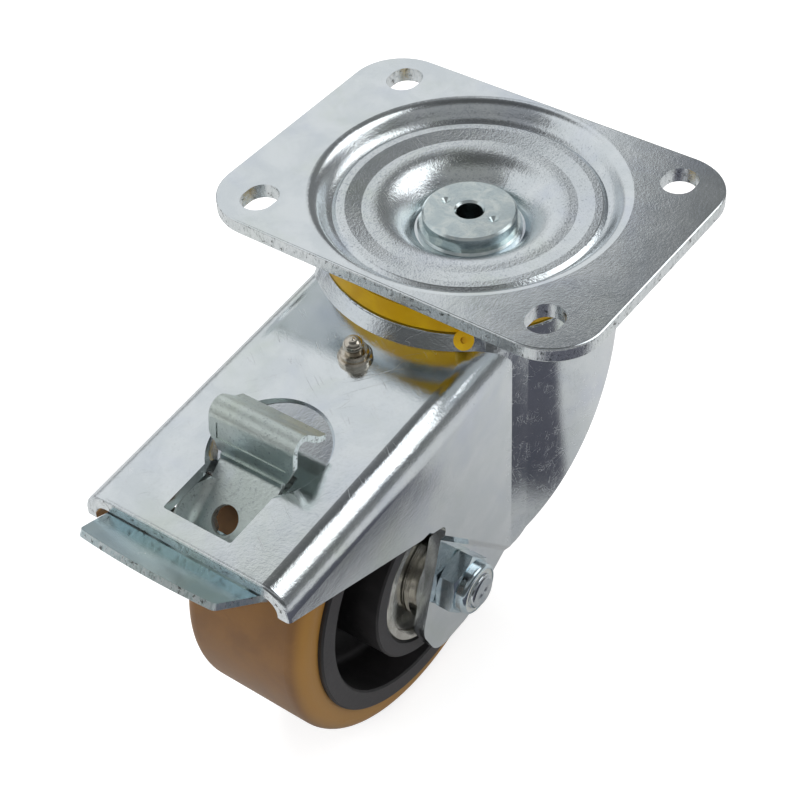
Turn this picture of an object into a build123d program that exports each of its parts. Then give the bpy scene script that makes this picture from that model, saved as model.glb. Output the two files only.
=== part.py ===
"""Swivel castor with a total-lock brake.

The mounting face of the top plate is z = 0, the swivel axis is the Z axis and the
wheel trails towards -X with its axle along Y. All sizes are in millimetres.
"""
import os
from math import asin, cos, radians, sin, sqrt, tan

from build123d import *

os.makedirs("parts", exist_ok=True)

# ---- driving dimensions -------------------------------------------------------
# top plate
plate_length = 138.0
plate_width = 104.0
plate_thickness = 5.0
plate_corner_radius = 18.0
plate_edge_round = 0.7
bolt_pitch_y = 105.0
bolt_pitch_x_min = 75.0
bolt_pitch_x_max = 80.0
bolt_hole_diameter = 11.0

# pressing in the middle of the top plate
bowl_rim_radius = 51.0
bowl_depth = 5.6
bead_outer_radius = 43.2
bead_inner_radius = 33.9
bead_rise = 1.0
bead_crest_inner_radius = 39.2
bead_crest_outer_radius = 41.8
bead_round = 0.8
well_rim_radius = 31.2
well_floor_radius = 17.6
well_under_radius = 19.8
well_wall_slope = 48.0
well_depth = 14.7

# kingpin and its nut
kingpin_diameter = 20.0
kingpin_head_diameter = 32.0
kingpin_head_height = 3.8
kingpin_bore_diameter = 8.4
kingpin_bore_depth = 20.0
nut_top_depth = 7.9
nut_height = 4.8
nut_diameter = 30.2
nut_cap_thickness = 1.8
nut_flat_depth = 1.3
nut_flat_height = 2.9
nut_chamfer = 0.7
dimple_diameter = 3.2
dimple_spacing = 18.0
dimple_depth = 1.4
nut_collar_diameter = 33.4

# swivel races
upper_ball_diameter = 8.0
upper_ball_count = 26
lower_ball_diameter = 6.0
lower_ball_count = 18
lower_race_radius = 21.0
race_groove_depth = 0.5
race_clearance = 0.05

# fork pressing
sheet = 4.0
crown_radius = 48.0
crown_shoulder_depth = 18.2
crown_edge_round = 0.5
crown_shoulder_width = 2.1
crown_race_width = 8.3
crown_slope_width = 3.1
crown_floor_drop = 5.7
crown_hole_diameter = 26.0
leg_half_width = 37.5
ridge_radius = 9.0
panel_slope = 5.0
panel_front_x = -143.3
panel_front_depth = 30.8
panel_front_round = 1.2
crown_root_run = 2.9
crown_root_rise = 3.6

# wheel place and size
wheel_offset = 65.0
wheel_diameter = 125.0
wheel_room = 7.035

# leg outline, seen from the side; the points near the axle are measured from its centre
leg_front_drop = 10.2
leg_notch_place = (-4.0, 28.9)
ear_heel_place = (-17.0, -12.5)
ear_toe_rear_place = (-10.0, -27.8)
ear_toe_front_place = (8.0, -27.8)
leg_knee_place = (35.0, -12.5)
skirt_turn_x = 33.0
skirt_turn_depth = 33.0
skirt_lip_depth = 29.0
leg_notch_round = 3.0
leg_heel_round = 9.0
leg_toe_round = 9.0
leg_knee_round = 13.0

# stepped-in ear round the axle; the step's line is measured from the axle's centre
ear_step = 1.2
ear_step_slant = 30.0
ear_step_top_place = (-13.0, 33.5)
ear_step_bottom_place = (30.5, -13.1)

# window and dish in the panel
window_front_x = -136.3
window_back_x = -106.0
window_half_width = 12.4
window_corner_radius = 0.8
dish_x = -101.4
dish_tilt = 5.0
dish_depth = 2.5
dish_floor_radius = 17.0
dish_under_radius = 18.0
dish_wall_slope = 60.0
dish_wall_height = 1.6
dish_flare_run = 4.6
dish_flare_height = 2.8

# dust seal
seal_foot = 0.7
seal_top_depth = 10.3
seal_shelf = 0.6
seal_wall = 1.7
pip_angle = -148.0
pip_diameter = 6.2
pip_tilt = 40.0
pip_reach = 3.6
pip_tip_depth = 17.4
pip_length = 5.6
pip_gap = 0.1
pip_dimple_diameter = 2.0
pip_dimple_depth = 1.0

# grease nipple
nipple_x = -61.5
nipple_stub_radius = 3.0
nipple_collar_radius = 5.4
nipple_collar_height = 1.6
nipple_step_radius = 4.5
nipple_step_height = 3.2
nipple_neck_radius = 2.6
nipple_neck_height = 3.9
nipple_dome_radius = 3.2
nipple_dome_height = 5.2
nipple_tip_radius = 0.8
nipple_height = 8.2
nipple_edge = 0.5

# wheel parts
tread_side_room = 10.5
tread_thickness = 9.5
tread_edge_round = 5.5
rim_side_room = 8.8
rim_thickness = 7.0
web_thickness = 12.0
hub_side_gap = 2.6
hub_diameter = 63.4
root_round = 2.5
wheel_edge = 0.6

# ball bearings in the hub
bearing_outer_diameter = 52.0
bearing_bore = 25.0
bearing_width = 15.0
bearing_recess = 0.3
bearing_ball_diameter = 7.9
bearing_ball_count = 8
bearing_ring_thickness = 3.4
bearing_ring_edge = 0.5
bearing_shield_thickness = 0.8
bearing_shield_gap = 0.3
bearing_shield_recess = 1.0
hub_shoulder_diameter = 44.0

# axle
axle_diameter = 12.0
axle_tip_beyond_nut = 1.4
axle_tip_chamfer = 1.1
axle_head_across_flats = 18.0
axle_head_height = 7.5
axle_tube_clearance = 0.2
axle_hole_clearance = 0.1
collar_diameter = 33.0
collar_length = 1.3
collar_small_diameter = 29.0
spacer_diameter = 31.0
nut_across_flats = 19.0
nut_turn = 15.0
nut_hex_height = 6.6
lock_nut_height = 10.4
lock_nut_dome_radius = 8.9
lock_nut_dome_round = 1.6
insert_outer_radius = 7.7
insert_thickness = 2.4
insert_recess = 0.4
hex_chamfer = 0.9

# brake rocker
rocker_pin_x = -110.0
rocker_pin_z = -39.0
rocker_pin_diameter = 5.0
rocker_lock_angle = 15.0
rocker_sheet = 2.0
rocker_half_width = 11.2
rocker_hole_diameter = 9.0
rocker_hole_from_bend = 15.3
rocker_hole_y = 1.1
leaf_half_width = 11.2
flange_half_width = 14.4
flange_rise = 4.2
flange_bend_radius = 4.5
flange_start = 6.0
flange_top_gap = 1.2
flange_side_room = 1.6
tab_half_width = 15.4
tab_corner_z = -22.0
tab_shoulder_z = -28.0
tab_shoulder_half_width = 12.6
leaf_end = (-129.5, -44.2)
tab_bend = (-112.4, -29.9)
tab_crown = (-109.2, -7.9)
tab_dip = (-98.6, -18.2)
tab_lip = (-95.4, -19.9)
tab_bend_radius = 1.6
tab_crown_radius = 4.5
tab_dip_radius = 1.4
tab_frame_from_bend = 9.4
tab_frame_height = 5.6
tab_frame_half_width = 12.7
tab_frame_depth = 0.3
tab_strip_from_bend = 3.7
tab_strip_height = 4.2
tab_strip_depth = 0.6
cheek_boss_radius = 4.5
cheek_top_outline = (
    (-113.6, -42.5),
    (-108.0, -38.0),
    (-112.5, -32.0),
    (-127.5, -44.0),
    (-134.0, -42.0),
    (-134.5, -46.0),
)
# measured from the middle of the shoe
cheek_foot_outline = ((-4.0, -2.6), (1.0, -3.6), (7.1, 3.3))
cheek_back_point = (-119.6, -47.6)
nose_outline = (
    (-114.2, -40.6),
    (-112.4, -45.0),
    (-111.6, -48.6),
    (-109.5, -48.6),
    (-109.5, -42.0),
)

# brake shoe, placed in the locked position
shoe_gap = 0.3
shoe_thickness = 3.4
shoe_half_width = 14.0
shoe_angle = 147.0
shoe_span = 8.0

# pedal
pedal_thickness = 2.2
pedal_tip_x = -158.4
pedal_tip_z = -26.6
pedal_slope = 29.8
pedal_side_room = 5.5
pedal_tip_narrowing = 3.5
pedal_front_bow = 1.6
pedal_corner_round = 2.0
pedal_inner_half_width = 21.6
pedal_end_x = -124.2
pedal_flare_length = 17.7
pedal_shoulder_length = 7.0

# hinge lugs under the panel
lug_thickness = 3.0
lug_gap = 1.0
lug_top_rear_x = -133.0
lug_top_front_x = -121.5
pin_end_length = 1.0

# rocker spring
spring_wire = 1.5
spring_coil_radius = 4.2
spring_start_angle = 130.0
spring_end_angle = 42.0
spring_pitch = 2.4
spring_turns = 3
spring_leg_length = 4.5

# swivel lock slide
slide_sheet = 2.0
slide_half_width = 8.0
slide_gap_over_wheel = 2.6
slide_front_x = -34.5
slide_bend_x = -76.6
slide_tail_x = -109.2
slide_tail_width = 4.0
tooth_width = 3.4
tooth_tip_gap = 0.5
lock_travel = 2.4
guide_x = -49.5
guide_length = 5.5
guide_strap = 1.5
guide_clearance = 0.4
guide_slope_room = 0.5

# notched lock cup under the lower race
cup_thickness = 3.5
cup_rim_radius = 30.0
cup_rim_inner_radius = 25.0
cup_rim_rise = 1.4
cup_rim_thickness = 3.6
notch_count = 24
notch_width = 4.4
notch_root_radius = 26.6

# clearances, and a small length for telling edges apart
tiny = 0.05
pin_clearance = 0.05
press_clearance = 0.05

# ---- derived sizes ------------------------------------------------------------
kingpin_radius = kingpin_diameter / 2
race_radius = (bead_outer_radius + bead_inner_radius) / 2
swivel_axis = Axis.Z

upper_ball_radius = upper_ball_diameter / 2
bead_top_z = -bowl_depth + bead_rise
bead_under_z = bead_top_z - plate_thickness
upper_ball_z = bead_under_z - upper_ball_radius + race_groove_depth
crown_race_z = upper_ball_z - upper_ball_radius + race_groove_depth
crown_floor_z = crown_race_z - crown_floor_drop
crown_under_z = crown_floor_z - sheet
lower_ball_radius = lower_ball_diameter / 2
lower_ball_z = crown_under_z - lower_ball_radius + race_groove_depth
cup_top_z = lower_ball_z - lower_ball_radius + race_groove_depth
cup_bottom_z = cup_top_z - cup_thickness
nut_bottom_z = -nut_top_depth - nut_height
kingpin_top_z = -nut_top_depth - nut_cap_thickness

leg_inner_y = leg_half_width - sheet
ear_outer_y = leg_half_width - ear_step
ear_inner_y = ear_outer_y - sheet

slope_x = cos(radians(panel_slope))
slope_z = sin(radians(panel_slope))
panel_under_drop = sheet / slope_x
panel_direction = (slope_x, 0, slope_z)
panel_normal = (-slope_z, 0, slope_x)


def panel_z(x):
    """Height of the panel's top face at x."""
    return -panel_front_depth + (x - panel_front_x) * tan(radians(panel_slope))


def panel_point(x):
    """Point on the middle line of the panel's top face."""
    return Vector(x, 0, panel_z(x))


axle_x = -wheel_offset
wheel_radius = wheel_diameter / 2
wheel_top_z = panel_z(axle_x) - panel_under_drop - wheel_room
axle_z = wheel_top_z - wheel_radius
axle_axis = Axis((axle_x, 0, axle_z), (0, 1, 0))
total_height = wheel_radius - axle_z
front_end_plane = Plane(origin=panel_point(panel_front_x), x_dir=(0, 1, 0), z_dir=(1, 0, 0))
axle_section = Plane(origin=(axle_x, 0, axle_z), x_dir=(0, 1, 0), z_dir=(1, 0, 0))


def from_axle(place):
    """Side-view point given by its run and rise from the axle's centre."""
    return (axle_x + place[0], axle_z + place[1])


def finish(part, name):
    """Label a piece and write its STEP file."""
    part.part.label = name
    export_step(part.part, f"parts/{name}.step")


# ---- top plate ----------------------------------------------------------------
plate_hole_radius = kingpin_radius + pin_clearance
well_direction = (cos(radians(well_wall_slope)), sin(radians(well_wall_slope)))

with BuildPart() as top_plate:
    with BuildSketch(Plane.XY):
        RectangleRounded(plate_width, plate_length, plate_corner_radius)
    extrude(amount=-plate_thickness)
    fillet(top_plate.faces().sort_by(Axis.Z)[-1].edges(), radius=plate_edge_round)
    fillet(top_plate.faces().sort_by(Axis.Z)[0].edges(), radius=plate_edge_round)
    with BuildSketch(Plane.XY):
        Circle(bowl_rim_radius)
    extrude(amount=-plate_thickness, mode=Mode.SUBTRACT)
    with BuildSketch(Plane.XZ):
        with BuildLine():
            floor = Line((plate_hole_radius, -well_depth), (well_floor_radius, -well_depth))
            well_wall = Spline(
                floor @ 1,
                (well_rim_radius, -bowl_depth),
                tangents=(well_direction, (1, 0)),
            )
            bead = FilletPolyline(
                well_wall @ 1,
                (bead_inner_radius, -bowl_depth),
                (bead_crest_inner_radius, bead_top_z),
                (bead_crest_outer_radius, bead_top_z),
                (bead_outer_radius, -bowl_depth),
                radius=bead_round,
            )
            bowl_wall = Spline(bead @ 1, (bowl_rim_radius, 0), tangents=((1, 0.25), (1, 0)))
            rim = Line(bowl_wall @ 1, (bowl_rim_radius, -plate_thickness))
            under_bowl = Spline(
                (bead_outer_radius, -bowl_depth - plate_thickness),
                rim @ 1,
                tangents=((1, 0.25), (1, 0)),
            )
            under_bead = ThreePointArc(
                under_bowl @ 0,
                (race_radius, bead_under_z),
                (bead_inner_radius, -bowl_depth - plate_thickness),
            )
            under_step = Line(
                under_bead @ 1, (well_rim_radius, -bowl_depth - plate_thickness)
            )
            under_well = Spline(
                (well_under_radius, -well_depth - plate_thickness),
                under_step @ 1,
                tangents=(well_direction, (1, 0)),
            )
            under_floor = Line(
                under_well @ 0, (plate_hole_radius, -well_depth - plate_thickness)
            )
            Line(under_floor @ 1, floor @ 0)
        make_face()
    revolve(axis=swivel_axis)
    with BuildSketch(Plane.XZ):
        with Locations((race_radius, upper_ball_z)):
            Circle(upper_ball_radius + race_clearance)
    revolve(axis=swivel_axis, mode=Mode.SUBTRACT)
    slot_centre_pitch = (bolt_pitch_x_min + bolt_pitch_x_max) / 2
    slot_length = bolt_hole_diameter + (bolt_pitch_x_max - bolt_pitch_x_min) / 2
    with BuildSketch(Plane.XY):
        with GridLocations(slot_centre_pitch, bolt_pitch_y, 2, 2):
            SlotOverall(slot_length, bolt_hole_diameter)
    extrude(amount=-plate_thickness, mode=Mode.SUBTRACT)
finish(top_plate, "top_plate")

# ---- kingpin, nut and collar ----------------------------------------------------
with BuildPart() as kingpin:
    with BuildSketch(Plane.XY.offset(kingpin_top_z)):
        Circle(kingpin_radius)
    extrude(amount=cup_bottom_z - kingpin_top_z)
    with BuildSketch(Plane.XY.offset(cup_bottom_z)):
        Circle(kingpin_head_diameter / 2)
    extrude(amount=-kingpin_head_height)
    chamfer(kingpin.edges().group_by(Axis.Z)[0], length=nut_chamfer)
    with BuildSketch(Plane.XY.offset(kingpin_top_z)):
        Circle(kingpin_bore_diameter / 2)
    extrude(amount=-kingpin_bore_depth, mode=Mode.SUBTRACT)
finish(kingpin, "kingpin")

with BuildPart() as kingpin_nut:
    with BuildSketch(Plane.XY.offset(-nut_top_depth)):
        Circle(nut_diameter / 2)
    extrude(amount=-nut_height)
    chamfer(kingpin_nut.edges().group_by(Axis.Z)[-1], length=nut_chamfer)
    with BuildSketch(Plane.XY.offset(nut_bottom_z)):
        with Locations((nut_diameter / 2, 0), (-nut_diameter / 2, 0)):
            Rectangle(2 * nut_flat_depth, nut_diameter)
    extrude(amount=nut_flat_height, mode=Mode.SUBTRACT)
    with BuildSketch(Plane.XY.offset(nut_bottom_z)):
        Circle(kingpin_radius)
    extrude(amount=nut_height - nut_cap_thickness, mode=Mode.SUBTRACT)
    with BuildSketch(Plane.XY.offset(-nut_top_depth)):
        Circle(kingpin_bore_diameter / 2)
    extrude(amount=-nut_cap_thickness, mode=Mode.SUBTRACT)
    top_circles = kingpin_nut.edges().filter_by(GeomType.CIRCLE).group_by(Axis.Z)[-1]
    chamfer(top_circles.sort_by(SortBy.RADIUS)[0], length=nut_chamfer)
    for dimple_y in (dimple_spacing / 2, -dimple_spacing / 2):
        with BuildSketch(Plane.YZ):
            with BuildLine():
                Polyline(
                    (dimple_y, -nut_top_depth - dimple_depth),
                    (dimple_y, -nut_top_depth),
                    (dimple_y + dimple_diameter / 2, -nut_top_depth),
                    close=True,
                )
            make_face()
        revolve(axis=Axis((0, dimple_y, 0), (0, 0, 1)), mode=Mode.SUBTRACT)
finish(kingpin_nut, "kingpin_nut")

with BuildPart() as nut_collar:
    with BuildSketch(Plane.XY.offset(nut_bottom_z)):
        Circle(nut_collar_diameter / 2)
        Circle(plate_hole_radius, mode=Mode.SUBTRACT)
    extrude(amount=-well_depth - nut_bottom_z)
    chamfer(nut_collar.edges().group_by(Axis.Z)[-1].sort_by(SortBy.RADIUS)[-1], length=nut_chamfer)
finish(nut_collar, "nut_collar")


# ---- race balls -----------------------------------------------------------------
with BuildPart() as upper_race_balls:
    with Locations((0, 0, upper_ball_z)):
        with PolarLocations(race_radius, upper_ball_count):
            Sphere(upper_ball_radius)
finish(upper_race_balls, "upper_race_balls")

with BuildPart() as lower_race_balls:
    with Locations((0, 0, lower_ball_z)):
        with PolarLocations(lower_race_radius, lower_ball_count):
            Sphere(lower_ball_radius)
finish(lower_race_balls, "lower_race_balls")

# ---- lock cup: lower race and notched rim, fixed to the kingpin -------------------
with BuildPart() as lock_cup:
    with BuildSketch(Plane.XY.offset(cup_top_z)):
        Circle(cup_rim_inner_radius + cup_thickness)
    extrude(amount=-cup_thickness)
    with BuildSketch(Plane.XY.offset(cup_top_z + cup_rim_rise)):
        Circle(cup_rim_radius)
    extrude(amount=-cup_rim_thickness)
    with BuildSketch(Plane.XY.offset(cup_top_z)):
        Circle(cup_rim_inner_radius)
    extrude(amount=cup_rim_rise, mode=Mode.SUBTRACT)
    with BuildSketch(Plane.XZ):
        with Locations((lower_race_radius, lower_ball_z)):
            Circle(lower_ball_radius + race_clearance)
    revolve(axis=swivel_axis, mode=Mode.SUBTRACT)
    with BuildSketch(Plane.XY.offset(cup_bottom_z)):
        Circle(plate_hole_radius)
    extrude(amount=cup_thickness + cup_rim_rise, mode=Mode.SUBTRACT)
    with BuildSketch(Plane.XY.offset(cup_top_z + cup_rim_rise)):
        with PolarLocations(cup_rim_radius + notch_root_radius, notch_count):
            Rectangle(2 * cup_rim_radius, notch_width)
    extrude(amount=-cup_rim_thickness, mode=Mode.SUBTRACT)
finish(lock_cup, "lock_cup")

# ---- fork -------------------------------------------------------------------------
ridge_inner_radius = ridge_radius - sheet
prism_end_x = -20.0
prism_length = (prism_end_x - panel_front_x) / slope_x
leg_depth = total_height - panel_front_depth
crown_inner_radius = crown_radius - sheet
shoulder_inner_radius = crown_radius - crown_edge_round - crown_shoulder_width
race_outer_radius = race_radius + crown_race_width / 2
race_inner_radius = race_radius - crown_race_width / 2
floor_outer_radius = race_inner_radius - crown_slope_width
shoulder_z = -crown_shoulder_depth

# the legs step inwards round the axle; these plates are the stepped-in part
step_top = from_axle(ear_step_top_place)
step_bottom = from_axle(ear_step_bottom_place)
step_length = sqrt((step_bottom[0] - step_top[0]) ** 2 + (step_bottom[1] - step_top[1]) ** 2)
step_direction = (
    (step_bottom[0] - step_top[0]) / step_length,
    0,
    (step_bottom[1] - step_top[1]) / step_length,
)
step_plane = Plane(origin=(step_top[0], 0, step_top[1]), x_dir=(0, 1, 0), z_dir=step_direction)
step_run = ear_step / tan(radians(ear_step_slant))
step_lag = sheet * tan(radians(ear_step_slant) / 2)
ear_reach = 60.0
step_line_extra = 20.0

leg_outline = (
    (panel_front_x, 0),
    (panel_front_x, -panel_front_depth - leg_front_drop),
    from_axle(leg_notch_place),
    from_axle(ear_heel_place),
    from_axle(ear_toe_rear_place),
    from_axle(ear_toe_front_place),
    from_axle(leg_knee_place),
    (skirt_turn_x, -skirt_turn_depth),
    (crown_radius + sheet, -skirt_lip_depth),
    (crown_radius + sheet, 0),
)
outline_radii = (
    0,
    0,
    leg_notch_round,
    leg_heel_round,
    leg_toe_round,
    leg_toe_round,
    leg_knee_round,
    leg_knee_round,
    0,
    0,
)
ear_region = (
    step_top,
    (
        step_bottom[0] + step_line_extra * step_direction[0],
        step_bottom[1] + step_line_extra * step_direction[2],
    ),
    (step_top[0] - step_line_extra, -total_height),
    (step_top[0] - step_line_extra, step_top[1]),
)

with BuildPart() as ear_plates:
    with BuildSketch(step_plane.offset(-step_line_extra)):
        for side in (1, -1):
            with BuildLine():
                Polyline(
                    (side * leg_half_width, 0),
                    (side * ear_outer_y, -step_run),
                    (side * ear_outer_y, -ear_reach),
                    (side * ear_inner_y, -ear_reach),
                    (side * ear_inner_y, -step_run - step_lag),
                    (side * leg_inner_y, -step_lag),
                    (side * leg_inner_y, 0),
                    close=True,
                )
            make_face()
    extrude(amount=step_length + 2 * step_line_extra)
    with BuildSketch(Plane.XZ):
        with BuildLine():
            FilletPolyline(*leg_outline, radius=outline_radii, close=True)
        make_face()
    extrude(amount=leg_half_width, both=True, mode=Mode.INTERSECT)
    with BuildSketch(Plane.XZ):
        with BuildLine():
            Polyline(*ear_region, close=True)
        make_face()
    extrude(amount=leg_half_width, both=True, mode=Mode.INTERSECT)

# the dish is drawn round an axis that leans, so its floor drops towards the panel's front end
dish_slope = panel_slope + dish_tilt
dish_direction = (cos(radians(dish_slope)), 0, sin(radians(dish_slope)))
dish_normal = (-dish_direction[2], 0, dish_direction[0])
dish_plane = Plane(origin=panel_point(dish_x), x_dir=dish_direction, z_dir=(0, -1, 0))
dish_axis = Axis(panel_point(dish_x), dish_normal)
dish_wall_run = dish_wall_height / tan(radians(dish_wall_slope))
dish_under_run = (dish_depth + sheet / 2) / tan(radians(dish_wall_slope))
dish_edge_direction = (cos(radians(dish_tilt)), sin(radians(dish_tilt)))
dish_wall_direction = (cos(radians(dish_wall_slope)), sin(radians(dish_wall_slope)))

with BuildPart() as fork_void:
    with BuildSketch(front_end_plane) as void_section:
        with Locations((0, -panel_under_drop - leg_depth / 2)):
            Rectangle(2 * leg_inner_y, leg_depth)
        fillet(void_section.vertices().group_by(Axis.Y)[-1], radius=ridge_inner_radius)
    extrude(amount=prism_length, dir=panel_direction)
    with BuildSketch(Plane.XY.offset(shoulder_z - sheet)):
        Circle(crown_inner_radius)
    extrude(amount=-leg_depth)

with BuildPart() as fork:
    with BuildSketch(Plane.XY.offset(shoulder_z)):
        Circle(crown_radius)
    extrude(amount=-leg_depth)
    fillet(fork.edges().group_by(Axis.Z)[-1], radius=crown_edge_round)
    with BuildSketch(front_end_plane) as leg_section:
        with Locations((0, -leg_depth / 2)):
            Rectangle(2 * leg_half_width, leg_depth)
        fillet(leg_section.vertices().group_by(Axis.Y)[-1], radius=ridge_radius)
    extrude(amount=prism_length, dir=panel_direction)
    front_rim = fork.faces().sort_by(Axis.X)[0].edges().group_by(Axis.Z)[1:]
    fillet(front_rim, radius=panel_front_round)
    crown_wall = fork.faces().filter_by(GeomType.CYLINDER).filter_by(
        lambda face: abs(face.radius - crown_radius) < tiny and face.center().X < 0
    )
    crown_root = crown_wall.edges().filter_by(
        lambda edge: (edge @ 0.5).X < 0
        and -leg_depth < (edge @ 0.5).Z < shoulder_z - crown_edge_round - tiny
    )
    chamfer(crown_root, length=crown_root_rise, length2=crown_root_run, reference=crown_wall[0])
    with BuildSketch(Plane.XZ):
        with BuildLine():
            FilletPolyline(*leg_outline, radius=outline_radii, close=True)
        make_face()
    extrude(amount=crown_radius, both=True, mode=Mode.INTERSECT)
    add(fork_void.part, mode=Mode.SUBTRACT)
    with BuildSketch(Plane.XY.offset(shoulder_z - sheet)):
        Circle(crown_inner_radius)
    extrude(amount=sheet, mode=Mode.SUBTRACT)
    with BuildSketch(Plane.XZ):
        with BuildLine():
            Polyline(
                (crown_hole_diameter / 2, crown_floor_z),
                (floor_outer_radius, crown_floor_z),
                (race_inner_radius, crown_race_z),
                (race_outer_radius, crown_race_z),
                (shoulder_inner_radius, shoulder_z),
                (crown_inner_radius + sheet / 2, shoulder_z),
                (crown_inner_radius + sheet / 2, shoulder_z - sheet),
                (crown_inner_radius, shoulder_z - sheet),
                (race_outer_radius, crown_race_z - sheet),
                (race_inner_radius, crown_race_z - sheet),
                (floor_outer_radius, crown_under_z),
                (crown_hole_diameter / 2, crown_under_z),
                close=True,
            )
        make_face()
    revolve(axis=swivel_axis)
    with BuildSketch(Plane.XZ):
        with Locations((race_radius, upper_ball_z)):
            Circle(upper_ball_radius + race_clearance)
        with Locations((lower_race_radius, lower_ball_z)):
            Circle(lower_ball_radius + race_clearance)
    revolve(axis=swivel_axis, mode=Mode.SUBTRACT)
    with BuildSketch(Plane.XZ):
        with BuildLine():
            Polyline(*ear_region, close=True)
        make_face()
    extrude(amount=crown_radius, both=True, mode=Mode.SUBTRACT)
    add(ear_plates.part)
    with BuildSketch(dish_plane):
        with BuildLine():
            Polyline(
                (0, -sheet / 2),
                (0, -dish_depth - sheet),
                (dish_under_radius, -dish_depth - sheet),
                (dish_under_radius + dish_under_run, -sheet / 2),
                close=True,
            )
        make_face()
    revolve(axis=dish_axis)
    with BuildSketch(dish_plane):
        with BuildLine():
            dish_wall = Line(
                (dish_floor_radius, -dish_depth),
                (dish_floor_radius + dish_wall_run, -dish_depth + dish_wall_height),
            )
            dish_flare = Spline(
                dish_wall @ 1,
                dish_wall @ 1 + Vector(dish_flare_run, dish_flare_height),
                tangents=(dish_wall_direction, dish_edge_direction),
            )
            Polyline(
                dish_flare @ 1,
                (dish_floor_radius + dish_wall_run + dish_flare_run, sheet),
                (0, sheet),
                (0, -dish_depth),
                dish_wall @ 0,
            )
        make_face()
    revolve(axis=dish_axis, mode=Mode.SUBTRACT)
    with BuildSketch(Plane.XY):
        with Locations(((window_front_x + window_back_x) / 2, 0)):
            RectangleRounded(
                window_back_x - window_front_x, 2 * window_half_width, window_corner_radius
            )
    extrude(amount=-panel_front_depth - 2 * sheet, mode=Mode.SUBTRACT)
    with BuildSketch(Plane(origin=panel_point(nipple_x), z_dir=panel_normal)):
        Circle(nipple_stub_radius + press_clearance)
    extrude(amount=-2 * sheet, mode=Mode.SUBTRACT)
    with BuildSketch(Plane.XZ):
        with Locations((axle_x, axle_z)):
            Circle(axle_diameter / 2 + axle_hole_clearance)
    extrude(amount=leg_half_width, both=True, mode=Mode.SUBTRACT)
finish(fork, "fork")

# ---- dust seal with its pip --------------------------------------------------------
seal_top_radius = crown_radius - seal_shelf
seal_inner_radius = seal_top_radius - seal_wall
pip_tip_radius = seal_top_radius + pip_reach
pip_radial = Vector(cos(radians(pip_angle)), sin(radians(pip_angle)), 0)
pip_axis = pip_radial * cos(radians(pip_tilt)) + Vector(0, 0, sin(radians(pip_tilt)))
pip_tip = pip_radial * pip_tip_radius - Vector(0, 0, pip_tip_depth)
pip_plane = Plane(origin=pip_tip, x_dir=(-pip_radial.Y, pip_radial.X, 0), z_dir=pip_axis)

with BuildPart() as dust_seal:
    with BuildSketch(pip_plane):
        Circle(pip_diameter / 2)
    extrude(amount=-pip_length)
    with BuildSketch(pip_plane):
        Circle(pip_dimple_diameter / 2)
    extrude(amount=-pip_dimple_depth, mode=Mode.SUBTRACT)
    # the pip is cut to the crown it rests on, with a small gap
    with Locations(pip_radial * pip_gap + Vector(0, 0, pip_gap)):
        add(fork.part, mode=Mode.SUBTRACT)
    with BuildSketch(Plane.XY.offset(-crown_shoulder_depth)):
        Circle(seal_inner_radius)
    extrude(amount=crown_shoulder_depth, mode=Mode.SUBTRACT)
    with BuildSketch(Plane.XZ):
        with BuildLine():
            Polyline(
                (seal_inner_radius, -crown_shoulder_depth),
                (seal_top_radius - seal_foot, -crown_shoulder_depth),
                (seal_top_radius, -crown_shoulder_depth + seal_foot),
                (seal_top_radius, -seal_top_depth),
                (seal_inner_radius, -seal_top_depth),
                close=True,
            )
        make_face()
    revolve(axis=swivel_axis)
finish(dust_seal, "dust_seal")

# ---- grease nipple ----------------------------------------------------------------
nipple_plane = Plane(origin=panel_point(nipple_x), x_dir=panel_direction, z_dir=(0, -1, 0))
nipple_axis = Axis(panel_point(nipple_x), panel_normal)

with BuildPart() as grease_nipple:
    with BuildSketch(nipple_plane):
        with BuildLine():
            stem = Polyline(
                (0, -sheet),
                (nipple_stub_radius, -sheet),
                (nipple_stub_radius, 0),
                (nipple_collar_radius, 0),
                (nipple_collar_radius, nipple_collar_height - nipple_edge),
                (nipple_collar_radius - nipple_edge, nipple_collar_height),
                (nipple_step_radius, nipple_collar_height),
                (nipple_step_radius, nipple_step_height - nipple_edge),
                (nipple_step_radius - nipple_edge, nipple_step_height),
                (nipple_neck_radius, nipple_step_height),
                (nipple_neck_radius, nipple_neck_height),
            )
            dome = ThreePointArc(
                stem @ 1,
                (nipple_dome_radius, nipple_dome_height),
                (nipple_tip_radius, nipple_height - nipple_edge),
            )
            Polyline(dome @ 1, (0, nipple_height), (0, -sheet))
        make_face()
    revolve(axis=nipple_axis)
finish(grease_nipple, "grease_nipple")

# ---- wheel --------------------------------------------------------------------------
tread_inner_radius = wheel_radius - tread_thickness
rim_inner_radius = tread_inner_radius - rim_thickness
tread_width = 2 * (leg_inner_y - tread_side_room)
rim_width = 2 * (leg_inner_y - rim_side_room)
hub_length = 2 * (ear_inner_y - hub_side_gap)
hub_radius = hub_diameter / 2
bearing_outer_radius = bearing_outer_diameter / 2
bearing_bore_radius = bearing_bore / 2
bearing_out_y = hub_length / 2 - bearing_recess
bearing_in_y = bearing_out_y - bearing_width

with BuildPart() as tread:
    with BuildSketch(axle_section):
        with Locations((0, wheel_radius - tread_thickness / 2)):
            Rectangle(tread_width, tread_thickness)
    revolve(axis=axle_axis)
    outer_edges = tread.edges().filter_by(GeomType.CIRCLE).group_by(SortBy.RADIUS)[-1]
    fillet(outer_edges, radius=tread_edge_round)
finish(tread, "tread")

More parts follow.
